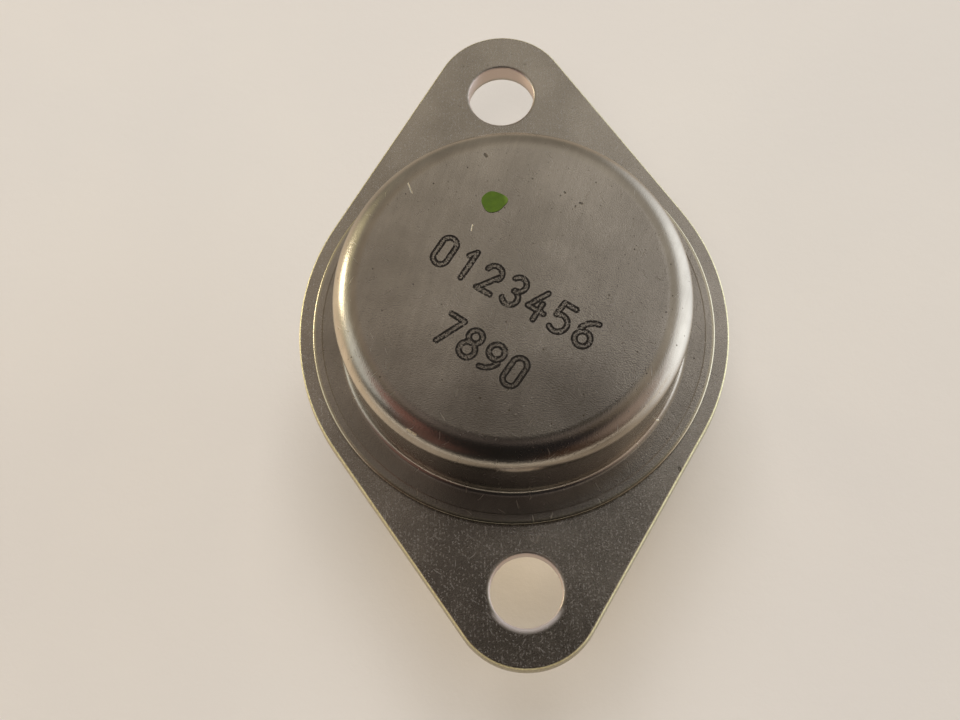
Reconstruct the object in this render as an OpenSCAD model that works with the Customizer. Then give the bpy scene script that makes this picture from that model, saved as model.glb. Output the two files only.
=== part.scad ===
// Two-pin metal can voltage regulator: lozenge flange, welded cap, glass-sealed pins,
// and the chip with its bond wires inside.
// Origin at the middle of the flange's seating face. +Z goes up through the cap, the
// screw holes lie along Y, and the pins point down -Z.

/* [Flange] */
// Distance between the two screw holes
hole_pitch = 30.15; // [29.5:0.05:31]
// Diameter of a screw hole
hole_d = 3.95; // [3.6:0.05:4.4]
// Thickness of the flange
flange_t = 1.55; // [1.3:0.05:2]
// Radius of the flange's two ends
flange_end_r = 4.22; // [3.6:0.02:5]
// Radius of the flange's sides, round the cap
flange_side_r = 12.45; // [12.1:0.05:13.4]
// Rounding that the blanking tool left along the lower edge of the outline
edge_roll = 0.25; // [0.1:0.05:0.4]
// Height of the smooth upright part of the outline's edge, above which the metal tore
edge_land = 0.6; // [0.45:0.05:0.9]
// How far the torn part of the edge leans in, up to the flange's upper face
edge_lean = 0.1; // [0.02:0.02:0.2]
// Rounding that the punch left at the upper mouth of each hole
hole_roll = 0.15; // [0.05:0.05:0.4]

/* [Cap] */
// Outside diameter of the cap's wall
cap_d = 19.4; // [19:0.05:20]
// Height of the cap's flat top above the seating face
overall_h = 7.9; // [6.5:0.1:10]
// Thickness of the cap's sheet
sheet_t = 0.4; // [0.3:0.05:0.6]
// Outside radius of the shoulder between wall and top
shoulder_r = 1.55; // [1:0.05:2.2]
// Width of the flat brim, from the wall to its edge, that is welded to the flange
brim_w = 1.83; // [1.6:0.01:2.2]
// Thickness of the brim, pressed thinner than the sheet
brim_t = 0.34; // [0.25:0.01:0.5]
// Radius of the corner between wall and brim
foot_r = 0.35; // [0.1:0.05:0.45]
// Distance from the brim's edge to the ring that the welding electrode left
weld_mark_inset = 0.58; // [0.4:0.02:0.8]
// Depth of the step at the electrode's ring
weld_mark_depth = 0.05; // [0.02:0.01:0.1]

/* [Pins] */
// Diameter of a pin, plating included
pin_d = 1.02; // [0.95:0.01:1.1]
// Thickness of the plating, which ends where the glass begins
plating_t = 0.01; // [0.005:0.005:0.02]
// Distance between the two pins
pin_pitch = 10.92; // [10.6:0.02:11.2]
// How far the line of pins lies from the middle of the flange
pin_offset = 1.815; // [1:0.005:2.5]
// Length of a pin below the seating face
pin_len = 11.4; // [8:0.1:13]
// Rounding at the pin's lower tip
pin_tip_r = 0.18; // [0.05:0.01:0.3]
// Height of a pin's post above the flange, under its head
post_h = 1.5; // [1:0.1:2.5]
// Diameter of the flattened head that the wires are bonded to
head_d = 1.8; // [1.4:0.1:2.2]
// Thickness of the flattened head
head_t = 0.3; // [0.2:0.05:0.5]

/* [Glass seals] */
// Diameter of a glass seal, and of its hole in the flange
seal_d = 3.8; // [3:0.1:4.4]
// How far the glass stands back from each face of the flange at its rim
seal_setback = 0.12; // [0.1:0.02:0.2]
// How far the glass creeps along the pin towards each face
seal_creep = 0.08; // [0.02:0.01:0.1]

/* [Chip] */
// Width of the copper heat spreader, between the pins
spreader_w = 5.6; // [4.5:0.1:6.2]
// Length of the heat spreader, along the flange
spreader_l = 7.4; // [5:0.1:9]
// Thickness of the heat spreader
spreader_t = 0.9; // [0.5:0.1:1.2]
// Corner radius of the heat spreader
spreader_corner_r = 0.5; // [0.2:0.1:1]
// Thickness of the braze under the heat spreader
braze_t = 0.06; // [0.03:0.01:0.1]
// How far the braze shows round the heat spreader
braze_fillet = 0.15; // [0.05:0.05:0.3]
// Thickness of the solder under the chip
solder_t = 0.05; // [0.03:0.01:0.1]
// How far the solder shows round the chip
solder_fillet = 0.12; // [0.05:0.01:0.3]
// Width of the silicon chip, along X
die_w = 2.7; // [2:0.1:3.4]
// Length of the silicon chip, along Y
die_l = 2.3; // [2:0.1:3]
// Thickness of the silicon chip
die_t = 0.3; // [0.2:0.05:0.5]

/* [Bond wires] */
// Diameter of the wires that carry the current
power_wire_d = 0.25; // [0.15:0.01:0.3]
// Diameter of the sense and ground wires
fine_wire_d = 0.13; // [0.1:0.01:0.2]
// Height of the power wires' loop above their feet
power_loop_h = 1.6; // [1.2:0.1:2]
// Height of the sense wire's loop above its feet
sense_loop_h = 1.2; // [1:0.1:1.5]
// Height of the ground wire's loop above the chip
ground_loop_h = 0.6; // [0.5:0.05:0.8]
// Distance from the chip's edge to the ends of the wires bonded on it
pad_inset = 0.6; // [0.5:0.05:0.8]
// Distance between the output wire and the sense wire where they are bonded
wire_gap = 0.6; // [0.5:0.05:0.8]
// How far from the chip the ground wire is bonded to the heat spreader
ground_reach = 1.3; // [1.1:0.1:1.6]

/* [Paint dot] */
// Diameter of the drop of paint
dot_d = 1.24; // [0.6:0.02:1.6]
// Thickness of the paint
dot_t = 0.04; // [0.02:0.01:0.08]
// Place of the drop on the cap, along X
dot_x = -0.79; // [-3:0.01:3]
// Place of the drop on the cap, along Y
dot_y = 4.93; // [2:0.01:6]
// Length of the drop's tail, from its middle
dot_tail = 0.75; // [0.7:0.05:1.2]
// Direction of the tail, in degrees from +X
dot_turn = 7; // [-180:1:180]

/* [Hidden] */

// Heights of the stack inside the cap, from the seating face up
braze_z = flange_t;
spreader_z = braze_z + braze_t;
solder_z = spreader_z + spreader_t;
die_z = solder_z + solder_t;
die_top = die_z + die_t;
head_z = flange_t + post_h;
head_top = head_z + head_t;

pin_x = pin_pitch / 2;
pin_y = pin_offset;
pin_r = pin_d / 2;
core_r = pin_r - plating_t;
plating_z = seal_setback - seal_creep;
wall_r = cap_d / 2;
brim_r = wall_r + brim_w;
brim_top = flange_t + brim_t;

// Fineness of the round parts
outline_fn = 96;
round_fn = 64;
arc_steps = 8;
wire_sides = 12;
wire_rings = 30;
eps = 0.01;

// Form of a bond wire: its foot's length in wire diameters, how much the foot is pressed
// flat, how far the loop leans to its first bond, and how slender the loop is
foot_len = 1.6;
foot_press = 0.45;
loop_lean = 0.8;
loop_round = 1.5;

nickel = "#8f877a";
cap_nickel = "#857d72";
pin_nickel = "#a39a8b";
seal_glass = "#3f5a52";
copper = "#b4704a";
braze = "#c9b58a";
solder = "#9b9ca0";
silicon = "#4d5568";
aluminium = "#c9cbcf";
green_paint = "#3f8a1e";

// Points of an arc round (cx, cz), from angle a0 to a1
function arc(cx, cz, r, a0, a1, steps = arc_steps) =
    [for (i = [0:steps]) let (a = a0 + (a1 - a0) * i / steps) [cx + r * cos(a), cz + r * sin(a)]];

// Outline of a rectangle with rounded corners, centred on the origin
function rounded_rect(w, l, r) = concat(
    arc(w / 2 - r, l / 2 - r, r, 0, 90),
    arc(r - w / 2, l / 2 - r, r, 90, 180),
    arc(r - w / 2, r - l / 2, r, 180, 270),
    arc(w / 2 - r, r - l / 2, r, 270, 360)
);

// Flange ------------------------------------------------------------------------------

// A round slab with the outline's own edge all the way round
module edge_disc(r) {
    rotate_extrude($fn = outline_fn)
        polygon(concat(
            [[0, 0]],
            arc(r - edge_roll, edge_roll, edge_roll, -90, 0, 4),
            [[r, edge_land], [r - edge_lean, flange_t], [0, flange_t]]
        ));
}

// A punched hole: a true bore with a rounded upper mouth
module punched_hole(d, roll) {
    translate([0, 0, -eps]) cylinder(d = d, h = flange_t + 2 * eps, $fn = round_fn);
    rotate_extrude($fn = round_fn)
        polygon(concat(
            [[d / 2 - eps, flange_t - roll]],
            arc(d / 2 + roll, flange_t - roll, roll, 180, 90, 5),
            [[d / 2 + roll, flange_t + eps], [d / 2 - eps, flange_t + eps]]
        ));
}

module header_flange() {
    color(nickel)
        difference() {
            hull() {
                edge_disc(flange_side_r);
                for (side = [-1, 1]) translate([0, side * hole_pitch / 2, 0]) edge_disc(flange_end_r);
            }
            for (side = [-1, 1]) {
                translate([0, side * hole_pitch / 2, 0]) punched_hole(hole_d, hole_roll);
                translate([side * pin_x, pin_y, -eps])
                    cylinder(d = seal_d, h = flange_t + 2 * eps, $fn = round_fn);
            }
        }
}

// Cap ---------------------------------------------------------------------------------

// Half section of the drawn cap, with the sheet's inner and outer skins
module cap_section() {
    bend_r = foot_r + brim_t;
    shoulder_x = wall_r - shoulder_r;
    shoulder_z = overall_h - shoulder_r;
    mark_r = brim_r - weld_mark_inset;
    polygon(concat(
        // inside: brim's underside, bend, wall, shoulder, top
        [[brim_r, flange_t]],
        arc(wall_r - sheet_t + bend_r, flange_t + bend_r, bend_r, 270, 180, 4),
        arc(shoulder_x, shoulder_z, shoulder_r - sheet_t, 0, 90),
        [[0, overall_h - sheet_t], [0, overall_h]],
        // outside: top, shoulder, wall, foot, the electrode's ring, brim's edge
        arc(shoulder_x, shoulder_z, shoulder_r, 90, 0, 2 * arc_steps),
        arc(wall_r + foot_r, brim_top - weld_mark_depth + foot_r, foot_r, 180, 270, 4),
        [
            [mark_r, brim_top - weld_mark_depth],
            [mark_r + weld_mark_depth, brim_top]
        ],
        arc(brim_r - brim_t / 3, brim_top - brim_t / 3, brim_t / 3, 90, 0, 3)
    ));
}

module cap() {
    color(cap_nickel) rotate_extrude($fn = 2 * round_fn) cap_section();
}

// Pins and their seals ----------------------------------------------------------------

// A headed pin with a rounded tip, on the Z axis, plated below the glass
module pin() {
    color(pin_nickel)
        rotate_extrude($fn = round_fn / 2)
            polygon(concat(
                [[0, -pin_len]],
                arc(pin_r - pin_tip_r, pin_tip_r - pin_len, pin_tip_r, -90, 0, 4),
                [[pin_r, plating_z], [core_r, plating_z], [core_r, head_z], [head_d / 2, head_z]],
                arc(head_d / 2 - head_t / 3, head_top - head_t / 3, head_t / 3, 0, 90, 3),
                [[0, head_top]]
            ));
}

// Fused glass between pin and flange, its two faces dished towards the rim
module glass_seal() {
    r_out = seal_d / 2;
    low = concat(
        [[core_r, plating_z]],
        [for (i = [0:5]) let (k = i / 5)
            [pin_r + (r_out - pin_r) * k, seal_setback - seal_creep * pow(1 - k, 3)]]
    );
    high = [for (i = [len(low) - 1:-1:0]) [low[i][0], flange_t - low[i][1]]];
    color(seal_glass) rotate_extrude($fn = round_fn) polygon(concat(low, high));
}

module input_pin() { translate([-pin_x, pin_y, 0]) pin(); }
module output_pin() { translate([pin_x, pin_y, 0]) pin(); }
module input_glass_seal() { translate([-pin_x, pin_y, 0]) glass_seal(); }
module output_glass_seal() { translate([pin_x, pin_y, 0]) glass_seal(); }

// Chip and what it stands on ------------------------------------------------------------

module slab(w, l, r, z, t) {
    translate([0, 0, z]) linear_extrude(t) polygon(rounded_rect(w, l, r));
}

module heat_spreader() {
    color(copper) slab(spreader_w, spreader_l, spreader_corner_r, spreader_z, spreader_t);
}

module spreader_braze() {
    color(braze)
        slab(spreader_w + 2 * braze_fillet, spreader_l + 2 * braze_fillet,
            spreader_corner_r + braze_fillet, braze_z, braze_t);
}

module die_solder() {
    color(solder)
        slab(die_w + 2 * solder_fillet, die_l + 2 * solder_fillet, solder_fillet, solder_z, solder_t);
}

module regulator_die() {
    color(silicon) translate([-die_w / 2, -die_l / 2, die_z]) cube([die_w, die_l, die_t]);
}

// Bond wires ------------------------------------------------------------------------------

// Rises from 0 to 1 between a and b with no kink at either end
function ease(x, a, b) = let (k = min(1, max(0, (x - a) / (b - a)))) k * k * (3 - 2 * k);

// A wire from one bond to the other: a flattened foot at each end and a loop between them.
// Each ring is a polygon with a flat side down, so that a foot lies on its pad.
module bond_wire(from, to, d, loop_h) {
    run = norm([to[0] - from[0], to[1] - from[1]]);
    foot = foot_len * d / run;
    turn = atan2(to[1] - from[1], to[0] - from[0]);
    half_side = 180 / wire_sides;
    sections = [for (i = [0:wire_rings]) let (
        k = i / wire_rings,
        pressed = foot_press * (1 - ease(k, foot, 2 * foot) * ease(1 - k, foot, 2 * foot)),
        w = d * (1 + pressed),
        h = d * (1 - pressed),
        lift = loop_h * pow(sin(180 * pow(ease(k, foot, 1 - foot), loop_lean)), loop_round),
        z = from[2] + (to[2] - from[2]) * ease(k, 2 * foot, 1 - 3 * foot) + lift + h / 2
    ) [run * k, w, h, z]];
    points = [for (s = sections) for (j = [0:wire_sides - 1]) let (a = half_side * (2 * j + 1))
        [s[0], s[1] / 2 * cos(a) / cos(half_side), s[3] + s[2] / 2 * sin(a) / cos(half_side)]];
    skin = [for (i = [0:wire_rings - 1]) for (j = [0:wire_sides - 1]) let (
        n = (j + 1) % wire_sides, b = i * wire_sides, c = b + wire_sides
    ) [b + j, b + n, c + n, c + j]];
    ends = [
        [for (j = [wire_sides - 1:-1:0]) j],
        [for (j = [0:wire_sides - 1]) wire_rings * wire_sides + j]
    ];
    color(aluminium)
        translate([from[0], from[1], 0]) rotate(turn) polyhedron(points, concat(skin, ends), convexity = 4);
}

module input_bond_wire() {
    bond_wire([pad_inset - die_w / 2, 0, die_top], [-pin_x, pin_y, head_top],
        power_wire_d, power_loop_h);
}

module output_bond_wire() {
    bond_wire([die_w / 2 - pad_inset, -wire_gap / 2, die_top],
        [pin_x, pin_y - wire_gap / 2, head_top], power_wire_d, power_loop_h);
}

module sense_bond_wire() {
    bond_wire([die_w / 2 - pad_inset, wire_gap / 2, die_top],
        [pin_x, pin_y + wire_gap / 2, head_top], fine_wire_d, sense_loop_h);
}

module ground_bond_wire() {
    bond_wire([0, pad_inset - die_l / 2, die_top], [0, -die_l / 2 - ground_reach, solder_z],
        fine_wire_d, ground_loop_h);
}

// Paint -------------------------------------------------------------------------------------

// A drop of paint with the tail that the brush drew out of it
module paint_dot() {
    color(green_paint)
        translate([dot_x, dot_y, overall_h]) rotate(dot_turn)
            hull() {
                cylinder(d = dot_d, h = dot_t / 2, $fn = 32);
                cylinder(d = 0.7 * dot_d, h = dot_t, $fn = 32);
                translate([dot_tail, 0, 0]) cylinder(d = 0.12 * dot_d, h = dot_t / 2, $fn = 16);
            }
}

header_flange();
cap();
input_pin();
output_pin();
input_glass_seal();
output_glass_seal();
heat_spreader();
spreader_braze();
die_solder();
regulator_die();
input_bond_wire();
output_bond_wire();
sense_bond_wire();
ground_bond_wire();
paint_dot();
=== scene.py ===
from math import atan2, ceil, cos, exp, hypot, pi, radians, sin

import bmesh
import bpy
from mathutils import Matrix, Vector


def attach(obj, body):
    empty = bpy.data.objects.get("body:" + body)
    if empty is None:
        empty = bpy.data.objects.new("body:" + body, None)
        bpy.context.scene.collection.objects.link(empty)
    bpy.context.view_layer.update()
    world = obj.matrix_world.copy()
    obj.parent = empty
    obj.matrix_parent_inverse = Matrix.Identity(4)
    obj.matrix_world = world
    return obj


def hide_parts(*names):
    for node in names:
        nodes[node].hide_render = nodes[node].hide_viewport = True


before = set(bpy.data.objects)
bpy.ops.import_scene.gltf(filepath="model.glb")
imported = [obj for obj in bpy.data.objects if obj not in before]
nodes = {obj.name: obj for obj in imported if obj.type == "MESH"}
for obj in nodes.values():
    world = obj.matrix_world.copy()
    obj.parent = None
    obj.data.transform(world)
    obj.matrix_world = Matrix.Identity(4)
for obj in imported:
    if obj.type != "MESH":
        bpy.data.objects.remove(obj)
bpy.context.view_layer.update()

mm = 0.001
up = Vector((0, 0, 1))
close = 1e-6  # heights nearer than this, in metres, count as one


# a socket that can be used in plain sums: an expression adds its Math nodes
class Wire:
    def __init__(self, paint, socket):
        self.paint, self.socket = paint, socket

    def sum(self, operation, *others):
        values = {"Value": self}
        for place, other in zip(("Value_001", "Value_002"), others):
            values[place] = other
        return self.paint.add("Math", {"operation": operation}, values)

    def turned(self, operation, other):
        return self.paint.add("Math", {"operation": operation}, {"Value": other, "Value_001": self})

    def __add__(self, other):
        return self.sum("ADD", other)

    def __sub__(self, other):
        return self.sum("SUBTRACT", other)

    def __rsub__(self, other):
        return self.turned("SUBTRACT", other)

    def __mul__(self, other):
        return self.sum("MULTIPLY", other)

    __radd__ = __add__
    __rmul__ = __mul__

    def size(self):
        return self.sum("ABSOLUTE")

    def least(self, other):
        return self.sum("MINIMUM", other)

    def most(self, other):
        return self.sum("MAXIMUM", other)

    # 0 below low and 1 above high, softly between; low above high turns it round
    def rise(self, low, high):
        if low > high:
            return 1 - self.rise(high, low)
        return self.paint.add(
            "MapRange", {"interpolation_type": "SMOOTHSTEP"},
            {"Value": self, "From Min": low, "From Max": high},
        )


# the nodes of a material or of the world: they come from add()
class Paint:
    def __init__(self, owner):
        owner.use_nodes = True
        self.owner, self.tree = owner, owner.node_tree
        self.tree.nodes.clear()

    def add(self, kind, settings, values, output=0):
        node = self.tree.nodes.new("ShaderNode" + kind)
        for name, value in settings.items():
            if name == "stops":
                while len(node.color_ramp.elements) < len(value):
                    node.color_ramp.elements.new(1)
                for element, (position, colour) in zip(node.color_ramp.elements, value):
                    element.position, element.color = position, (*colour, 1)
            else:
                setattr(node, name, value)
        for name, value in values.items():
            socket = next(s for s in node.inputs if name in (s.identifier, s.name))
            if isinstance(value, Wire):
                self.tree.links.new(value.socket, socket)
            elif socket.type == "RGBA" and len(value) == 3:
                socket.default_value = (*value, 1)
            else:
                socket.default_value = value
        found = [s for s in node.outputs if output in (s.identifier, s.name)]
        return Wire(self, found[0] if found else node.outputs[output])

    def surface(self, kind, shader):
        out = self.tree.nodes.new("ShaderNodeOutput" + kind)
        self.tree.links.new(shader.socket, out.inputs["Surface"])
        return self.owner

    def vector(self, operation, *values, output=0):
        names = ("Vector", "Vector_001", "Vector_002")
        return self.add("VectorMath", {"operation": operation}, dict(zip(names, values)), output)

    def scaled(self, vector, factor):
        return self.add("VectorMath", {"operation": "SCALE"}, {"Vector": vector, "Scale": factor})

    def dot(self, one, other):
        return self.vector("DOT_PRODUCT", one, other, output="Value")

    def axis(self, vector, name):
        return self.add("SeparateXYZ", {}, {"Vector": vector}, name)

    def mix(self, factor, one, other):
        return self.add(
            "Mix", {"data_type": "RGBA", "blend_type": "MIX", "clamp_factor": True},
            {"Factor_Float": factor, "A_Color": one, "B_Color": other}, "Result_Color",
        )


# one material of a piece, with places in mm
class Finish(Paint):
    def __init__(self, name):
        super().__init__(bpy.data.materials.new(name))
        self.place = self.scaled(self.add("TexCoord", {}, {}, "Object"), 1 / mm)
        self.flat = self.vector("MULTIPLY", self.place, (1, 1, 0))

    def normal(self):
        return self.add("NewGeometry", {}, {}, "Normal")

    def stretched(self, scale, shift=(0, 0, 0)):
        return self.add("Mapping", {}, {"Vector": self.place, "Scale": scale, "Location": shift})

    # grey noise from 0 to 1; size is that of its largest patches, in mm
    def noise(self, size, detail=3.0, rough=0.55, place=None):
        return self.add(
            "TexNoise", {},
            {"Vector": place or self.place, "Scale": 1 / size, "Detail": detail,
             "Roughness": rough},
            "Fac",
        )

    # straight scratches: one in each cell of the surface, at its own turn
    def scratches(self, cell, length, width, share, shift=0.0):
        spot = self.stretched((1, 1, 1), (shift, 0.7 * shift, 0.3 * shift))
        settings = {"feature": "F1", "voronoi_dimensions": "3D"}
        values = {"Vector": spot, "Scale": 1 / cell, "Randomness": 1.0}
        centre = self.add("TexVoronoi", settings, values, "Position")
        tint = self.add("TexVoronoi", settings, values, "Color")
        facing = self.normal()
        offset = self.vector("SUBTRACT", spot, centre)
        loose = self.vector("SUBTRACT", tint, (0.5, 0.5, 0.5))
        along = self.vector("NORMALIZE", self.vector("CROSS_PRODUCT", facing, loose))
        across = self.vector("CROSS_PRODUCT", facing, along)
        line = self.dot(offset, across).size().rise(width, 0.3 * width)
        ends = self.dot(offset, along).size().rise(length, 0.4 * length)
        chosen = self.add("SeparateColor", {}, {"Color": tint}, "Red").rise(share, 0.8 * share)
        return line * ends * chosen

    # tiny round spots, seen from above: one in some of the cells
    def spots(self, cell, radius, share, shift=0.0):
        spot = self.vector("ADD", self.flat, (shift, 0.7 * shift, 0))
        settings = {"feature": "F1", "voronoi_dimensions": "2D"}
        values = {"Vector": spot, "Scale": 1 / cell, "Randomness": 1.0}
        tint = self.add("TexVoronoi", settings, values, "Color")
        tint = self.add("SeparateColor", {}, {"Color": tint}, "Red")
        away = self.add("TexVoronoi", settings, values, "Distance") * cell
        return away.rise(radius, 0.4 * radius) * tint.rise(share, 0.8 * share)

    # one straight mark between two points, seen from above
    def streak(self, start, end, width):
        start, end = Vector((*start, 0)), Vector((*end, 0))
        run = end - start
        offset = self.vector("SUBTRACT", self.flat, start)
        share = self.dot(offset, run / run.length_squared).most(0).least(1)
        gap = self.vector("SUBTRACT", offset, self.scaled(run, share))
        return self.vector("LENGTH", gap, output="Value").rise(width, 0.3 * width)

    # a mark that runs on through several points
    def bent(self, points, width):
        whole, *rest = [self.streak(*ends, width) for ends in zip(points, points[1:])]
        for part in rest:
            whole = whole.most(part)
        return whole

    def bump(self, height, distance):
        return self.add("Bump", {}, {"Height": height, "Distance": distance * mm, "Strength": 1.0})

    def finish(self, sockets):
        return self.surface("Material", self.add("BsdfPrincipled", {}, sockets))


# turns a finished bmesh into an object; given a slot name, it rides on the part
def addPiece(name, bm, material, slotName=None, stands=()):
    mesh = bpy.data.meshes.new(name)
    bm.to_mesh(mesh)
    bm.free()
    piece = bpy.data.objects.new(name, mesh)
    bpy.context.scene.collection.objects.link(piece)
    mesh.materials.append(material)
    if slotName:
        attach(piece, "root")
    if stands:
        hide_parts(*stands)
    return piece


def isFlat(face):
    return abs(face.normal.z) > 0.9999


# turns a half section, a closed list of (radius, height), about the Z axis
def spinSection(points, steps, centre=(0, 0)):
    bm = bmesh.new()
    ring = [bm.verts.new((x * mm, 0, z * mm)) for x, z in points]
    for one, other in zip(ring, ring[1:] + ring[:1]):
        if one.co.x > 1e-7 or other.co.x > 1e-7:
            bm.edges.new((one, other))
    bmesh.ops.spin(bm, geom=bm.verts[:] + bm.edges[:], cent=(0, 0, 0), axis=up, angle=2 * pi,
                   steps=steps, use_merge=True)
    bmesh.ops.remove_doubles(bm, verts=bm.verts[:], dist=1e-7)
    bmesh.ops.recalc_face_normals(bm, faces=bm.faces[:])
    bmesh.ops.translate(bm, vec=(centre[0] * mm, centre[1] * mm, 0), verts=bm.verts[:])
    for face in bm.faces:
        face.smooth = not isFlat(face)
    return bm


# points of an arc in a section, angles in degrees
def arcPoints(x, z, radius, start, end, steps):
    turns = [radians(start + (end - start) * i / steps) for i in range(steps + 1)]
    return [(x + radius * cos(t), z + radius * sin(t)) for t in turns]


nickel = {
    "light": (0.62, 0.575, 0.51), "dull": (0.45, 0.415, 0.365),
    "flangeRoughness": 0.27, "capRoughness": 0.25,
    # dirt colour, also used to paint shade on the flange's lower end
    "dirtAndShade": (0.1, 0.085, 0.06), "scratch": (0.93, 0.94, 0.98),
    # the first paints a glow round the lower hole, the second a reflection in the hole walls
    "paintedHoleGlow": (0.78, 0.72, 0.72), "bore": (0.84, 0.72, 0.7),
    # each of these two runs from its dark grains to its light ones
    "torn": ((0.46, 0.43, 0.33), (0.7, 0.67, 0.53)),
    "paintedEdgeGlint": ((0.7, 0.65, 0.38), (1, 0.96, 0.66)),
    # speck colour, also used to paint shade on the front of the cap's top
    "drawn": (0.34, 0.31, 0.27), "speckAndShade": (0.12, 0.1, 0.075),
    # seam colour: a dark weld joint, also painted shade on the brim's front
    "lip": (0.7, 0.65, 0.51), "seamAndShade": (0.05, 0.045, 0.03), "bare": (0.95, 0.88, 0.7),
}

# marks as seen from above: where they run, in mm from the middle, and their half width
flangeMarks = {
    "hook": ([(0.36, -12.1), (0.42, -12.36), (0.66, -12.5), (0.86, -12.12)], 0.03),
    "nick": ((8.75, -8.75), (8.86, -8.95), 0.13),
    # painted shade: a broad dark patch over the flange's lower end
    "paintedShade": ((-0.5, -18), (0.8, -18.2), 4.5),
}
capMarks = {
    "specks": [
        ((-1.12, 7.8), (-1.04, 7.68), 0.12), ((3.08, 5.3), (3.12, 5.24), 0.07),
        ((3.86, 4.6), (3.98, 4.56), 0.08), ((3.62, 4.44), (3.6, 4.4), 0.06),
    ],
    "scratches": [((-5.36, 6.3), (-5.16, 5.72), 0.04), ((-1.95, 3.65), (-2.03, 3.3), 0.03)],
    "scuff": ((-5.75, -7.36), (-5.3, -7.68), 0.07),
    "bead": ((7.72, -6.08), (7.8, -6.04), 0.07),
    # painted shade: a broad dark patch over the front of the cap's top
    "paintedShade": ((-1.5, -7.2), (2.5, -7), 4),
}


def flangeNickel():
    paint = Finish("flange_nickel")
    cloud = paint.noise(6, 4)
    grain = paint.noise(0.07, 2, 0.6)
    pits = paint.noise(0.3, 2).rise(0.68, 0.76)
    fine = paint.scratches(0.17, 0.065, 0.024, 0.4)
    fine = fine.most(paint.scratches(0.24, 0.085, 0.022, 0.4, 5.3))
    long = paint.scratches(0.9, 0.26, 0.022, 0.35, 3.1)
    hook = paint.bent(*flangeMarks["hook"])
    nick = paint.streak(*flangeMarks["nick"]) * grain.rise(0.3, 0.5)
    # painted shade: a broad dark patch over the flange's lower end
    paintedShade = paint.streak(*flangeMarks["paintedShade"])
    lift = paint.axis(paint.place, "Z")
    hole, holeAt = flange["holeRadius"], (0, flange["holePitch"] / 2, 0)
    away = paint.vector("SUBTRACT", paint.vector("ABSOLUTE", paint.flat), holeAt)
    away = paint.vector("LENGTH", away, output="Value")
    rolled = away.rise(hole + 0.25, hole + 0.1)
    # painted reflection: the hole walls tinted pale pink like the warm ground they mirror
    bore = away.rise(hole + 0.07, hole + 0.02)
    # painted glow: a pale pink, less metallic ring on the top face round the lower hole
    paintedHoleGlow = away.rise(hole + 0.4, hole + 0.1)
    paintedHoleGlow = paintedHoleGlow * paint.axis(paint.place, "Y").rise(-15.9, -16.6) * lift.rise(1.2, 1.4)
    tilt = paint.axis(paint.normal(), "Z").size()
    outside = tilt.rise(0.97, 0.85) * (1 - rolled)
    torn = outside * lift.rise(flange["land"] - 0.1, flange["land"] + 0.1)
    # painted highlight: a bright yellow line along the outline's top edge
    paintedEdgeGlint = outside * lift.rise(flange["thickness"] - 0.2, flange["thickness"] - 0.12)
    burr = paint.noise(0.13, 3, 0.7)
    colour = paint.mix(cloud.rise(0.3, 0.7), nickel["dull"], nickel["light"])
    # pits and nicks are dirt; the broad patch is painted shade
    colour = paint.mix(pits * 0.4 + nick * 0.8 + paintedShade * 0.32, colour, nickel["dirtAndShade"])
    colour = paint.mix(fine.most(long) * 0.45, colour, nickel["scratch"])
    # painted glow round the lower hole
    colour = paint.mix(paintedHoleGlow * 0.8, colour, nickel["paintedHoleGlow"])
    # painted reflection in the hole walls
    colour = paint.mix(bore * 0.7, colour, nickel["bore"])
    # the torn strip's bare steel, its yellow tint painted warm lamp light
    colour = paint.mix(torn, colour, paint.mix(burr.rise(0.35, 0.65), *nickel["torn"]))
    # painted highlight along the outline's top edge
    colour = paint.mix(paintedEdgeGlint, colour, paint.mix(burr.rise(0.3, 0.6), *nickel["paintedEdgeGlint"]))
    marks = fine.most(long).most(hook)
    roughness = (nickel["flangeRoughness"] + 0.08 * (cloud - 0.5) + 0.1 * (grain - 0.5)
                 + 0.1 * marks + 0.2 * torn + 0.1 * rolled + 0.2 * paintedHoleGlow)
    height = grain - 0.5 * marks - 0.5 * pits - nick + torn * burr * 5
    normal = paint.bump(height, 0.0035)
    return paint.finish({
        "Base Color": colour, "Metallic": 1 - 0.35 * paintedHoleGlow, "Roughness": roughness,
        "Normal": normal,
    })


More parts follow.
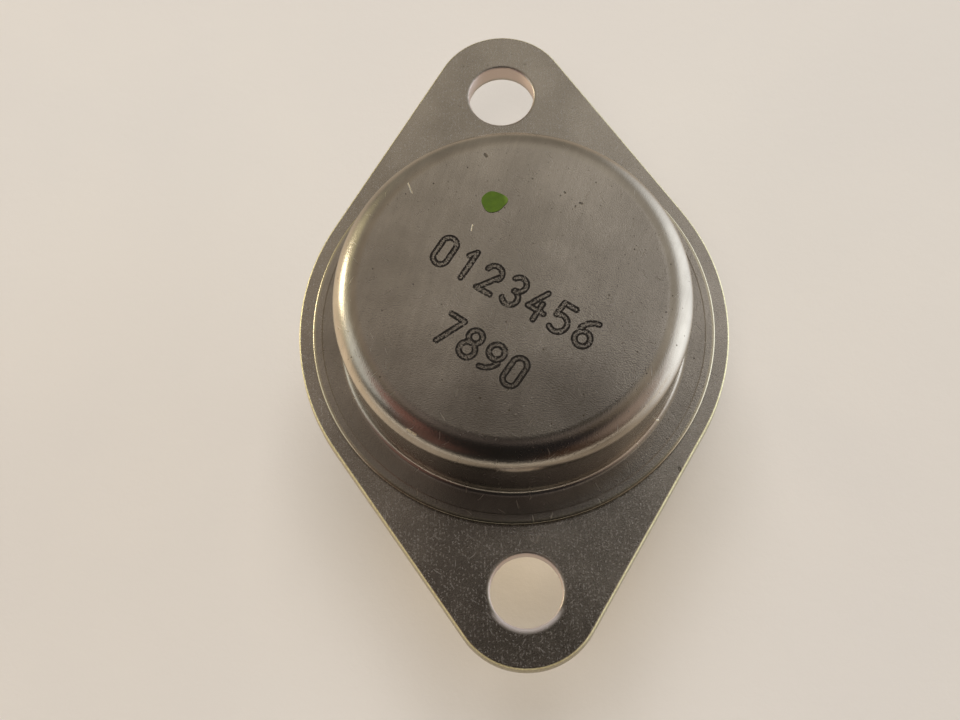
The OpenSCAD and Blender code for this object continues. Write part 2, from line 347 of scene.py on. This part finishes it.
def capNickel():
    paint = Finish("cap_nickel")
    radius = paint.vector("LENGTH", paint.flat, output="Value")
    cloud = paint.noise(5, 4)
    lean = paint.add("VectorRotate", {"rotation_type": "Z_AXIS"},
                     {"Vector": paint.place, "Angle": 0.35})
    drawn = paint.noise(1, 3, 0.6, paint.vector("MULTIPLY", lean, (4.5, 0.25, 0.3)))
    grain = paint.noise(0.085, 2, 0.6)
    level = paint.axis(paint.normal(), "Z").rise(0.3, 0.6)
    specks = paint.spots(0.55, 0.035, 0.35).most(paint.spots(1.7, 0.06, 0.4, 4.0))
    for mark in capMarks["specks"]:
        specks = specks.most(paint.streak(*mark))
    specks = specks * level
    fine = paint.scratches(0.9, 0.3, 0.02, 0.3, 1.3)
    one, other = capMarks["scratches"]
    bright = paint.streak(*one).most(paint.streak(*other))
    scuff = paint.streak(*capMarks["scuff"]) * grain.rise(0.35, 0.5)
    bead = paint.streak(*capMarks["bead"])
    pressed = radius.rise(9.9, 10.1) * radius.rise(11.02, 10.98)
    # painted shade: a broad dark patch over the front of the cap's top
    paintedShade = paint.streak(*capMarks["paintedShade"])
    colour = paint.mix(cloud.rise(0.3, 0.7), nickel["dull"], nickel["light"])
    colour = paint.mix(drawn.rise(0.3, 0.7) * 0.16, colour, nickel["drawn"])
    # specks are dirt; the broad front patch is painted shade
    colour = paint.mix(specks * 0.7 + pressed * 0.12 + paintedShade * 0.36, colour, nickel["speckAndShade"])
    # painted highlight: the brim's lip tinted pale yellow like the bright line along it
    colour = paint.mix(radius.rise(11.3, 11.36), colour, nickel["lip"])
    # a dark weld joint low on the brim's lip, and painted shade over the lip at the front
    low = paint.axis(paint.place, "Z").rise(1.84, 1.78)
    front = paint.axis(paint.place, "Y").rise(-6.5, -9.5)
    seamAndShade = radius.rise(11.3, 11.42) * (low * 0.85).most(front * 0.6)
    colour = paint.mix(seamAndShade, colour, nickel["seamAndShade"])
    colour = paint.mix(bright.most(bead).most(scuff), colour, nickel["bare"])
    roughness = (nickel["capRoughness"] + 0.06 * (cloud - 0.5) + 0.08 * (grain - 0.5) + 0.15 * fine
                 + 0.3 * bright.most(bead) + 0.2 * scuff)
    height = grain + 0.2 * drawn - 0.4 * fine - 0.8 * specks - 2 * bright + 3 * bead + 2 * scuff
    normal = paint.bump(height, 0.0065)
    return paint.finish({
        "Base Color": colour, "Metallic": 1.0, "Roughness": roughness, "Normal": normal,
    })


def pinNickel():
    paint = Finish("pin_nickel")
    streak = paint.noise(1, 3, 0.6, paint.stretched((9, 9, 0.5)))
    grain = paint.noise(0.12, 3)
    colour = paint.mix(streak.rise(0.3, 0.7), (0.5, 0.46, 0.4), (0.7, 0.66, 0.59))
    normal = paint.bump(grain + streak, 0.003)
    return paint.finish({
        "Base Color": colour, "Metallic": 1.0, "Roughness": 0.3 + 0.15 * (streak - 0.5),
        "Normal": normal,
    })


def sealGlass():
    paint = Finish("seal_glass")
    cloud = paint.noise(1.2, 4)
    bubbles = paint.noise(0.22, 1).rise(0.68, 0.74)
    colour = paint.mix(cloud.rise(0.3, 0.7), (0.02, 0.05, 0.045), (0.05, 0.1, 0.085))
    colour = paint.mix(bubbles * 0.6, colour, (0.2, 0.27, 0.24))
    normal = paint.bump(paint.noise(0.8, 3) - bubbles, 0.012)
    return paint.finish({
        "Base Color": colour, "Roughness": 0.12 + 0.1 * cloud, "IOR": 1.52,
        "Coat Weight": 0.4 + 0.2 * cloud, "Coat Roughness": 0.06, "Normal": normal,
    })


def greenPaint():
    paint = Finish("green_paint")
    reach = paint.dot(paint.place, (cos(radians(dot["turn"])), sin(radians(dot["turn"])), 0))
    reach = reach - (dot["x"] + dot["y"] * sin(radians(dot["turn"])))
    cloud = paint.noise(0.35, 4)
    specks = paint.noise(0.09, 2).rise(0.7, 0.78)
    colour = paint.mix(cloud.rise(0.25, 0.75), (0.055, 0.105, 0.003), (0.075, 0.135, 0.006))
    colour = paint.mix(reach.rise(0.55, 0.75) * 0.5, colour, (0.16, 0.24, 0.03))
    colour = paint.mix(specks * 0.6, colour, (0.02, 0.045, 0.003))
    normal = paint.bump(paint.noise(0.12, 3), 0.01)
    return paint.finish({
        "Base Color": colour, "Roughness": 0.5 + 0.2 * (cloud - 0.5), "Normal": normal,
    })


def inkBlack():
    paint = Finish("ink")
    spread = paint.add("Attribute", {"attribute_name": "spread"}, {}, "Fac")
    blotch = paint.noise(0.1, 3, 0.6)
    crumbs = paint.noise(0.06, 2, 0.6)
    bare = paint.noise(0.45, 2).rise(0.6, 0.68) * crumbs.rise(0.62, 0.5)
    ragged = spread + 0.8 * (blotch - 0.5) + 0.4 * (crumbs - 0.5)
    whole = paint.noise(0.11, 2).rise(0.34, 0.4)
    rim = ragged.rise(0.32, 0.4) * ragged.rise(1.08, 1.02) * whole
    bits = crumbs.rise(0.53, 0.57) * ragged.rise(0.9, 0.8)
    colour = paint.mix(crumbs.rise(0.3, 0.7), (0.005, 0.004, 0.003), (0.018, 0.014, 0.011))
    alpha = rim.most(bits).most(ragged.rise(1, 0.9) * 0.05) * (1 - bare * 0.9)
    return paint.finish({
        "Base Color": colour, "Roughness": 0.55 + 0.2 * (blotch - 0.5),
        "Specular IOR Level": 0.3, "Alpha": alpha,
    })


def copperPaint():
    paint = Finish("copper")
    cloud = paint.noise(1.6, 4)
    grain = paint.noise(0.1, 3)
    lines = paint.noise(1, 2, 0.6, paint.stretched((0.5, 14, 0.5)))
    colour = paint.mix(cloud.rise(0.3, 0.7), (0.62, 0.25, 0.13), (0.83, 0.4, 0.24))
    normal = paint.bump(grain + lines, 0.004)
    return paint.finish({
        "Base Color": colour, "Metallic": 1.0, "Roughness": 0.3 + 0.2 * lines,
        "Normal": normal,
    })


def brazePaint():
    paint = Finish("braze")
    cloud = paint.noise(0.5, 4)
    colour = paint.mix(cloud.rise(0.3, 0.7), (0.5, 0.38, 0.2), (0.75, 0.62, 0.38))
    normal = paint.bump(cloud, 0.02)
    return paint.finish({
        "Base Color": colour, "Metallic": 1.0, "Roughness": 0.25 + 0.2 * cloud,
        "Normal": normal,
    })


def solderPaint():
    paint = Finish("solder")
    cloud = paint.noise(0.3, 4)
    colour = paint.mix(cloud.rise(0.3, 0.7), (0.3, 0.3, 0.31), (0.55, 0.55, 0.57))
    normal = paint.bump(cloud, 0.015)
    return paint.finish({
        "Base Color": colour, "Metallic": 1.0, "Roughness": 0.3 + 0.2 * cloud,
        "Normal": normal,
    })


def siliconPaint():
    paint = Finish("silicon")
    cells = paint.add(
        "TexBrick", {"offset": 0.35, "squash": 1.0},
        {"Vector": paint.place, "Color1": (0.05, 0.07, 0.12), "Color2": (0.14, 0.1, 0.16),
         "Mortar": (0.45, 0.43, 0.36), "Scale": 1.0, "Mortar Size": 0.012, "Brick Width": 0.38,
         "Row Height": 0.17}, "Color",
    )
    cloud = paint.noise(0.4, 3)
    top = paint.axis(paint.normal(), "Z").rise(0.8, 0.9)
    colour = paint.mix(top, (0.06, 0.065, 0.075), cells)
    colour = paint.mix(cloud.rise(0.55, 0.7) * 0.3, colour, (0.2, 0.14, 0.22))
    normal = paint.bump(paint.noise(0.05, 2), 0.0015)
    return paint.finish({
        "Base Color": colour, "Metallic": 0.3 + 0.2 * cloud,
        "Roughness": 0.22 + 0.15 * cloud, "Normal": normal,
    })


def wirePaint():
    paint = Finish("bond_wire")
    drawn = paint.noise(0.08, 3)
    colour = paint.mix(drawn.rise(0.3, 0.7), (0.68, 0.69, 0.71), (0.88, 0.88, 0.9))
    normal = paint.bump(drawn, 0.003)
    return paint.finish({
        "Base Color": colour, "Metallic": 1.0, "Roughness": 0.25 + 0.2 * drawn,
        "Normal": normal,
    })


flange = {
    "holePitch": 30.15, "holeRadius": 1.975, "thickness": 1.55,
    "endRadius": 4.22, "sideRadius": 12.45,
    "lowerRoll": 0.25, "land": 0.6, "lean": 0.1, "edgeBreak": 0.11, "holeRoll": 0.15,
    "tornHole": 0.08, "tornBreak": 0.03,
    "pinX": 5.46, "pinY": 1.815, "sealRadius": 1.9,
    "flankSteps": 44, "endSteps": 56, "sideSteps": 44, "holeSteps": 96,
}


# a row of edges that one point leaves as it turns about a centre
def turnPoint(bm, centre, radius, start, sweep, steps):
    first = bm.verts.new(centre + radius * Vector((cos(start), sin(start), 0)))
    turned = bmesh.ops.spin(bm, geom=[first], cent=centre, axis=up, angle=sweep, steps=steps)
    last = [item for item in turned["geom_last"] if isinstance(item, bmesh.types.BMVert)][0]
    return first, last


def makeFlange(material):
    bm = bmesh.new()
    thickness = flange["thickness"] * mm
    halfPitch = flange["holePitch"] / 2 * mm
    side, end = flange["sideRadius"] * mm, flange["endRadius"] * mm
    lean = atan2(side - end, (halfPitch ** 2 - (side - end) ** 2) ** 0.5)
    middle, sideSteps, endSteps = Vector((0, 0, 0)), flange["sideSteps"], flange["endSteps"]
    arcs = [
        turnPoint(bm, middle, side, -lean, 2 * lean, sideSteps),
        turnPoint(bm, Vector((0, halfPitch, 0)), end, lean, pi - 2 * lean, endSteps),
        turnPoint(bm, middle, side, pi - lean, 2 * lean, sideSteps),
        turnPoint(bm, Vector((0, -halfPitch, 0)), end, pi + lean, pi - 2 * lean, endSteps),
    ]
    flanks = [bm.edges.new((last, following[0])) for (_, last), following in
              zip(arcs, arcs[1:] + arcs[:1])]
    bmesh.ops.subdivide_edges(bm, edges=flanks, cuts=flange["flankSteps"] - 1)
    holes = [(0, sign * halfPitch, flange["holeRadius"] * mm) for sign in (-1, 1)]
    seals = [(sign * flange["pinX"] * mm, flange["pinY"] * mm, flange["sealRadius"] * mm)
             for sign in (-1, 1)]
    for x, y, radius in holes + seals:
        bmesh.ops.create_circle(bm, segments=flange["holeSteps"], radius=radius,
                                matrix=Matrix.Translation((x, y, 0)))
    bmesh.ops.triangle_fill(bm, use_beauty=True, use_dissolve=False, edges=bm.edges[:], normal=up)
    raised = bmesh.ops.extrude_face_region(bm, geom=bm.faces[:])["geom"]
    bmesh.ops.translate(bm, vec=up * thickness,
                        verts=[item for item in raised if isinstance(item, bmesh.types.BMVert)])
    bmesh.ops.bisect_plane(bm, geom=bm.verts[:] + bm.edges[:] + bm.faces[:], dist=1e-8,
                           plane_co=(0, 0, flange["land"] * mm), plane_no=up)
    bmesh.ops.recalc_face_normals(bm, faces=bm.faces[:])

    # 2 on the rim of a screw hole, 1 on that of a seal's hole, 0 on the outline
    def rimOf(point):
        for kind, rims in ((2, holes), (1, seals)):
            if any(hypot(point.x - x, point.y - y) < radius + 0.2 * mm for x, y, radius in rims):
                return kind
        return 0

    # the torn part of the edge stands back, at the outline's top and at the holes' bottom
    for height, kind, depth in ((thickness, 0, flange["lean"]), (0, 2, flange["tornHole"])):
        moves = []
        for vert in bm.verts:
            walls = [face.normal for face in vert.link_faces if abs(face.normal.z) < 0.5]
            if walls and abs(vert.co.z - height) < close and rimOf(vert.co) == kind:
                moves.append((vert, sum(walls, Vector()).normalized() * depth * mm))
        for vert, step in moves:
            vert.co -= step

    for height, kind, offset, segments in (
        (0, 0, flange["lowerRoll"], 6), (thickness, 0, flange["edgeBreak"], 3),
        (thickness, 2, flange["holeRoll"], 6), (0, 2, flange["tornBreak"], 2),
    ):
        rim = []
        for edge in bm.edges:
            halfway = (edge.verts[0].co + edge.verts[1].co) / 2
            isSharp = edge.calc_face_angle(0) > 1
            if isSharp and abs(halfway.z - height) < close and rimOf(halfway) == kind:
                rim.append(edge)
        bmesh.ops.bevel(bm, geom=rim, offset=offset * mm, offset_type="OFFSET", segments=segments,
                        profile=0.5, affect="EDGES", material=-1)
    bm.normal_update()
    for face in bm.faces:
        face.smooth = not isFlat(face)
    addPiece("flange_plate", bm, material, "flange_nickel", ["header_flange"])


cap = {
    "wallRadius": 9.7, "top": 7.9, "sheet": 0.4, "shoulderRadius": 1.55,
    "brimRadius": 11.53, "brimThickness": 0.34, "footRadius": 0.35,
    "markRadius": 10.95, "markDepth": 0.05, "steps": 256,
}


def makeCap(material):
    wall, top, sheet, brim = cap["wallRadius"], cap["top"], cap["sheet"], cap["brimRadius"]
    base = flange["thickness"]
    brimTop = base + cap["brimThickness"]
    lowTop = brimTop - cap["markDepth"]
    bend = cap["footRadius"] + cap["brimThickness"]
    shoulderX, shoulderZ = wall - cap["shoulderRadius"], top - cap["shoulderRadius"]
    lip = cap["brimThickness"] * 0.4
    section = [(brim, base)]
    section += arcPoints(wall - sheet + bend, base + bend, bend, 270, 180, 8)
    section += arcPoints(shoulderX, shoulderZ, cap["shoulderRadius"] - sheet, 0, 90, 14)
    section += [(0, top - sheet), (0, top)]
    section += arcPoints(shoulderX, shoulderZ, cap["shoulderRadius"], 90, 0, 28)
    section += arcPoints(wall + cap["footRadius"], lowTop + cap["footRadius"], cap["footRadius"],
                         180, 270, 8)
    section += [(cap["markRadius"], lowTop), (cap["markRadius"] + cap["markDepth"], brimTop)]
    section += arcPoints(brim - lip, brimTop - lip, lip, 90, 0, 5)
    addPiece("cap_shell", spinSection(section, cap["steps"]), material, "cap_nickel", ["cap"])


pin = {
    "radius": 0.51, "length": 11.4, "tipRadius": 0.18, "headRadius": 0.9,
    "headThickness": 0.3, "headZ": 3.05, "sealSetback": 0.12, "sealCreep": 0.08,
    "steps": 64, "sealSteps": 96,
}


def makePins(metal, glass):
    r, headTop = pin["radius"], pin["headZ"] + pin["headThickness"]
    lip = pin["headThickness"] / 3
    section = [(0, -pin["length"])]
    section += arcPoints(r - pin["tipRadius"], pin["tipRadius"] - pin["length"], pin["tipRadius"],
                         -90, 0, 8)
    section += [(r, pin["headZ"]), (pin["headRadius"], pin["headZ"])]
    section += arcPoints(pin["headRadius"] - lip, headTop - lip, lip, 0, 90, 5)
    section += [(0, headTop)]
    sealRadius, base = flange["sealRadius"], flange["thickness"]
    low = []
    for i in range(13):
        k = i / 12
        low.append((r + (sealRadius - r) * k, pin["sealSetback"] - pin["sealCreep"] * (1 - k) ** 3))
    ring = low + [(x, base - z) for x, z in reversed(low)]
    for name, sign in (("input", -1), ("output", 1)):
        centre = (sign * flange["pinX"], flange["pinY"])
        addPiece(name + "_lead", spinSection(section, pin["steps"], centre), metal, "pin_nickel",
                 [name + "_pin"])
        addPiece(name + "_seal", spinSection(ring, pin["sealSteps"], centre), glass, "seal_glass",
                 [name + "_glass_seal"])


dot = {
    "x": -0.79, "y": 4.93, "radius": 0.62, "height": 0.036, "tail": 0.82, "turn": 7,
    # from the rim inwards: width in mm, and share of the height
    "rings": [(0.02, 0.5), (0.03, 0.25), (0.05, 0.15), (0.08, 0.07), (0.12, 0.03)],
}


def makeDot(material):
    bm = bmesh.new()
    bmesh.ops.create_circle(bm, cap_ends=True, segments=96, radius=dot["radius"] * mm)
    for vert in bm.verts:
        angle = atan2(vert.co.y, vert.co.x)
        pull = (dot["tail"] / dot["radius"] - 1) * exp(-(angle / 0.42) ** 2)
        wobble = 0.03 * sin(3 * angle + 1) + 0.02 * sin(5 * angle)
        vert.co *= 1 + pull + wobble * (1 - exp(-(angle / 0.8) ** 2))
    face = next(iter(bm.faces))
    for inset, height in dot["rings"]:
        bmesh.ops.inset_region(bm, faces=[face], thickness=inset * mm, depth=0)
        bmesh.ops.translate(bm, vec=up * height * dot["height"] * mm, verts=face.verts[:])
    bmesh.ops.triangulate(bm, faces=[face])
    bmesh.ops.rotate(bm, cent=(0, 0, 0), matrix=Matrix.Rotation(radians(dot["turn"]), 3, "Z"),
                     verts=bm.verts[:])
    bmesh.ops.translate(bm, vec=Vector((dot["x"], dot["y"], cap["top"])) * mm, verts=bm.verts[:])
    bmesh.ops.recalc_face_normals(bm, faces=bm.faces[:])
    for face in bm.faces:
        face.smooth = True
    addPiece("green_dot", bm, material, "green_paint", ["paint_dot"])


printed = {
    "stroke": 0.37, "scale": 1.25, "step": 0.05, "across": 8, "lift": 0.004, "layer": 0.0006,
    "lines": [
        ("0123456", (-3.47, 2.2), (3.71, -2.8)),
        ("7890", (-3.39, -2.28), (-0.07, -4.74)),
    ],
}

# each stroke: start x, start y, heading in degrees, then moves. A single number goes
# straight on; a pair is a bend, its radius and its angle (positive to the left)
figures = {
    "0": [(0.32, -0.34, 90, 0.68, (0.32, 180), 0.68, (0.32, 180))],
    "1": [(-0.16, 0.38, 52, 0.36), (0.07, 0.665, -90, 1.33)],
    "2": [(-0.33, 0.3, 80, (-0.34, 200)), (0.3, 0.2, -124, 1.04), (-0.32, -0.665, 0, 0.66)],
    "3": [(-0.27, 0.52, 60, (-0.32, 240)), (-0.02, 0.01, 0, (-0.335, 240))],
    "4": [(0.1, 0.665, -118, 1.0), (-0.37, -0.22, 0, 0.76), (0.14, 0.14, -90, 0.8)],
    "5": [(0.3, 0.665, 180, 0.56), (-0.26, 0.665, -95, 0.56), (-0.3, 0.06, 40, (-0.39, 260))],
    "6": [(0.28, 0.6, 190, (0.75, 62)), (-0.33, -0.3, -90, (0.33, 360))],
    "7": [(-0.32, 0.665, 0, 0.66), (0.34, 0.665, -112, 1.43)],
    "8": [(0.29, 0.36, 90, (0.29, 360)), (0.34, -0.29, 90, (0.34, 360))],
    "9": [(0.33, 0.3, 90, (0.33, 360)), (-0.28, -0.6, 10, (0.75, 62))],
}


# closes a stroke with half a turn of half its pen
def roundEnd(bm, pen, centre, angle):
    near = pen[:len(pen) // 2]
    geom = near + list({v for edge in near for v in edge.verts})
    bmesh.ops.spin(bm, geom=geom, cent=centre, axis=up, angle=angle, steps=10)


# draws one figure as ribbons, and says how far each point lies from the strokes' middles
def drawFigure(name):
    bm = bmesh.new()
    half = printed["stroke"] / 2
    count, scale = printed["across"], printed["scale"]
    trail = []
    for layer, (x, y, heading, *moves) in enumerate(figures[name]):
        x, y = x * scale, y * scale
        before = set(bm.verts)
        turn = radians(heading)
        side = Vector((-sin(turn), cos(turn), 0))
        row = [bm.verts.new(Vector((x, y, 0)) + side * half * (2 * i / count - 1))
               for i in range(count + 1)]
        pen = [bm.edges.new(pair) for pair in zip(row, row[1:])]
        at = Vector((x, y, 0))
        trail.append(at.copy())

        closed = sum(abs(move[1]) for move in moves if isinstance(move, tuple)) >= 360
        if not closed:
            roundEnd(bm, pen, at, -pi)
        for move in moves:
            ahead = Vector((cos(turn), sin(turn), 0))
            geom = pen + list({v for edge in pen for v in edge.verts})
            if isinstance(move, tuple):
                radius, sweep = move[0] * scale, radians(move[1])
                if radius < 0:
                    sweep = -sweep
                centre = at + Vector((-sin(turn), cos(turn), 0)) * radius
                steps = max(4, ceil(abs(radius * sweep) / printed["step"]))
                done = bmesh.ops.spin(bm, geom=geom, cent=centre, axis=up, angle=sweep, steps=steps)
                arm = at - centre
                for i in range(1, steps + 1):
                    trail.append(centre + Matrix.Rotation(sweep * i / steps, 3, "Z") @ arm)
                at = trail[-1].copy()
                turn += sweep
            else:
                move *= scale
                steps = max(2, ceil(move / printed["step"]))
                done = bmesh.ops.spin(bm, geom=geom, cent=at, axis=up, dvec=ahead * move / steps,
                                      angle=0, steps=steps)
                trail += [at + ahead * move * i / steps for i in range(1, steps + 1)]
                at = trail[-1].copy()
            last = set(item for item in done["geom_last"] if isinstance(item, bmesh.types.BMEdge))
            corners = list({v for edge in last for v in edge.verts})
            side = Vector((-sin(turn), cos(turn), 0))
            corners.sort(key=lambda v: (v.co - at).dot(side))
            pen = [bm.edges.get(pair) for pair in zip(corners, corners[1:])]
        if not closed:
            roundEnd(bm, pen, at, pi)
        lift = printed["layer"] * layer
        bmesh.ops.translate(bm, vec=(0, 0, lift), verts=[v for v in bm.verts if v not in before])
    bmesh.ops.remove_doubles(bm, verts=bm.verts[:], dist=1e-4)
    spread = bm.verts.layers.float.new("spread")
    for vert in bm.verts:
        flat = Vector((vert.co.x, vert.co.y, 0))
        vert[spread] = min((flat - point).length for point in trail) / half
    for face in bm.faces:
        if face.normal.z < 0:
            face.normal_flip()
    return bm


def printFigures(material):
    bm = bmesh.new()
    bm.verts.layers.float.new("spread")
    for words, start, end in printed["lines"]:
        start, end = Vector((*start, 0)), Vector((*end, 0))
        run = (end - start) / (len(words) - 1)
        turn = Matrix.Rotation(atan2(run.y, run.x), 4, "Z")
        for place, name in enumerate(words):
            one = drawFigure(name)
            at = start + run * place + up * (cap["top"] + printed["lift"])
            bmesh.ops.transform(one, matrix=Matrix.Scale(mm, 4) @ Matrix.Translation(at) @ turn,
                                verts=one.verts[:])
            scrap = bpy.data.meshes.new("scrap")
            one.to_mesh(scrap)
            one.free()
            bm.from_mesh(scrap)
            bpy.data.meshes.remove(scrap)
    addPiece("figures", bm, material, "cap_nickel")


flangeMetal, capMetal = flangeNickel(), capNickel()
makeFlange(flangeMetal)
print("flange made")
makeCap(capMetal)
print("cap made")
makePins(pinNickel(), sealGlass())
print("pins and seals made")
makeDot(greenPaint())
printFigures(inkBlack())
print("dot and figures made")

finishes = {
    "header_flange": flangeMetal, "cap": capMetal,
    "heat_spreader": copperPaint(), "spreader_braze": brazePaint(), "die_solder": solderPaint(),
    "regulator_die": siliconPaint(),
}
bondWire = wirePaint()
for name in ("input", "output", "sense", "ground"):
    finishes[name + "_bond_wire"] = bondWire
for name, material in finishes.items():
    for slot in nodes[name].material_slots:
        slot.material = material
print("inside finished")


room = {
    # colours from below to above, by the sine of the height
    "stops": [
        (-0.35, (0.465, 0.385, 0.297)),
        (-0.08, (0.262, 0.237, 0.196)),
        (0.55, (0.289, 0.254, 0.212)),
        (0.88, (0.312, 0.253, 0.187)),
        (0.97, (0.29, 0.24, 0.225)),
        (1.00, (0.000, 0.000, 0.000)),
    ],
    # each patch: turn from +X and height in degrees, where it is full, where it ends, colour
    "patches": [
        ("window", 13.8, -5.0, 1.0, 55.6, (1.608, 1.661, 1.711)),
        ("ceiling glow", 51.6, 54.2, 1.3, 38.7, (0.473, 0.439, 0.386)),
        ("viewer", 269.6, 29.4, 35.0, 54.4, (0.000, 0.001, 0.009)),
        ("lens", 236.0, 31.1, 27.6, 58.7, (0.017, 0.016, 0.015)),
        ("lamp glow", 152.7, 11.8, 18.5, 31.2, (0.637, 0.576, 0.375)),
        ("pale wall", 183.6, 27.2, 1.0, 26.9, (0.839, 0.853, 0.805)),
        ("warm ground", 167.9, -28.5, 1.0, 38.9, (0.995, 0.799, 0.570)),
        ("left hand", 204.2, 40.8, 9.3, 17.1, (0.273, 0.122, 0.097)),
        ("right hand", 305.2, 3.5, 23.5, 27.5, (0.067, 0.032, 0.017)),
        ("left cuff", 226.5, 19.3, 14.3, 18.3, (0.138, 0.071, 0.057)),
        ("right wall", 325.5, 20.9, 2.3, 28.1, (0.452, 0.348, 0.292)),
        ("camera", 65.0, 81.8, 10.0, 14.0, (0.000, 0.000, 0.000)),
        ("back glow", 60.1, 65.9, 3.6, 7.8, (0.923, 0.892, 0.882)),
    ],
}
stage = {
    "floorZ": -11.4, "floorHalf": 600,
    "paper": (0.80, 0.765, 0.72), "paperPale": (0.83, 0.79, 0.735), "paperSpeck": (0.3, 0.26, 0.22),
    "cardRadius": 29, "cardLow": 1.6, "cardHigh": 4.8, "cardGlow": 0.95,
    "cardStart": 200, "cardSweep": 140,
    # name, place, aim, side, power, colour, and whether the metal mirrors it
    "lamps": [
        ("left lamp", (-300, 144, 56), (0, 0, 0), 100, 0.2, (1, 0.88, 0.66), True),
        ("right lamp", (280, 60, 90), (0, 0, 0), 110, 0.08, (0.4, 0.75, 1), False),
        ("top lamp", (0, 140, 330), (0, 0, 0), 240, 0.61, (1, 0.985, 0.98), False),
        ("front lamp", (-30, -112, 320), (0, 0, 0), 110, 0.21, (1, 0.9, 0.78), False),
        # light that the sheet throws back under the lower hole
        ("bounce lamp", (-0.8, -9.3, -3), (0.2, -12.6, -11.4), 5, 0.00024, (1, 0.74, 0.4), False),
    ],
}
# which way the camera's axes point, where it stands in mm, and its lens in mm
view = {
    "upward": (0.04753, 0.94916, 0.31118), "forward": (-0.01891, 0.31234, -0.94978),
    "place": (-0.6458, -23.7816, 68.0486), "sensor": 36, "lens": 45.97, "near": 0.001, "far": 10,
}


def paperFinish():
    paint = Finish("paper")
    cloud = paint.noise(25, 4)
    fibres = paint.noise(0.8, 4, 0.65)
    specks = paint.noise(3.1, 1).rise(0.86, 0.88)
    colour = paint.mix(cloud.rise(0.3, 0.7), stage["paper"], stage["paperPale"])
    colour = paint.mix(specks, colour, stage["paperSpeck"])
    normal = paint.bump(fibres, 0.02)
    return paint.finish({"Base Color": colour, "Roughness": 0.75 + 0.1 * fibres, "Normal": normal})


def makeFloor():
    bm = bmesh.new()
    half = stage["floorHalf"] * mm
    bmesh.ops.create_grid(bm, x_segments=2, y_segments=2, size=half)
    bmesh.ops.translate(bm, vec=(0, 0, stage["floorZ"] * mm), verts=bm.verts[:])
    floor = addPiece("floor", bm, paperFinish())
    floor.visible_glossy = False  # the metal mirrors the tilted ground of the room instead


# a low pale card before the front edge, which only the metal mirrors
def makeCard():
    paint = Finish("card")
    cloud = paint.noise(8, 3)
    glow = paint.mix(cloud, (0.95, 0.84, 0.7), (1, 0.9, 0.76))
    bm = bmesh.new()
    low, high = (bm.verts.new((stage["cardRadius"] * mm, 0, stage[height] * mm))
                 for height in ("cardLow", "cardHigh"))
    edge = bm.edges.new((low, high))
    bmesh.ops.spin(bm, geom=[low, high, edge], cent=(0, 0, 0), axis=up,
                   angle=radians(stage["cardSweep"]), steps=48)
    bmesh.ops.rotate(bm, cent=(0, 0, 0), verts=bm.verts[:],
                     matrix=Matrix.Rotation(radians(stage["cardStart"]), 3, "Z"))
    material = paint.finish({
        "Base Color": (0, 0, 0), "Roughness": 0.9, "Emission Color": glow,
        "Emission Strength": stage["cardGlow"],
    })
    card = addPiece("front_card", bm, material)
    card.visible_camera = card.visible_diffuse = card.visible_shadow = False


def addLamp(name, place, target, side, power, colour, shows):
    light = bpy.data.lights.new(name, "AREA")
    light.shape, light.size, light.size_y = "RECTANGLE", side * mm, side * mm
    light.energy, light.color = power, colour
    lamp = bpy.data.objects.new(name, light)
    bpy.context.scene.collection.objects.link(lamp)
    lamp.location = Vector(place) * mm
    aim = (Vector(target) - Vector(place)).to_track_quat("-Z", "Y")
    lamp.rotation_euler = aim.to_euler()
    lamp.visible_camera, lamp.visible_glossy = False, shows


# the room that the metal mirrors: a dim ramp from ground to ceiling, and soft round patches
def makeWorld():
    world = bpy.data.worlds.new("room")
    bpy.context.scene.world = world
    paint = Paint(world)
    facing = paint.add("TexCoord", {}, {}, "Generated")
    stops = [(0.5 + 0.5 * height, colour) for height, colour in room["stops"]]
    colour = paint.add("ValToRGB", {"stops": stops}, {"Fac": paint.axis(facing, "Z") * 0.5 + 0.5})
    for _, turn, height, core, edge, tint in room["patches"]:
        turn, height = radians(turn), radians(height)
        direction = (cos(height) * cos(turn), cos(height) * sin(turn), sin(height))
        near = paint.dot(facing, direction)
        colour = paint.mix(near.rise(cos(radians(edge)), cos(radians(core))), colour, tint)
    paint.surface("World", paint.add("Background", {}, {"Color": colour, "Strength": 1.0}))


def makeCamera():
    forward = Vector(view["forward"])
    upward = Vector(view["upward"])
    upward = (upward - forward * upward.dot(forward)).normalized()
    right = forward.cross(upward).normalized()
    lens = bpy.data.cameras.new("camera")
    lens.sensor_width, lens.lens = view["sensor"], view["lens"]
    lens.clip_start, lens.clip_end = view["near"], view["far"]
    camera = bpy.data.objects.new("camera", lens)
    bpy.context.scene.collection.objects.link(camera)
    turned = Matrix((right, upward, -forward)).transposed().to_4x4()
    camera.matrix_world = Matrix.Translation(Vector(view["place"]) * mm) @ turned
    bpy.context.scene.camera = camera


makeFloor()
makeCard()
makeWorld()
for lamp in stage["lamps"]:
    addLamp(*lamp)
print("floor and lights made")
makeCamera()
bpy.context.scene.view_settings.view_transform = "Standard"
print("camera set")
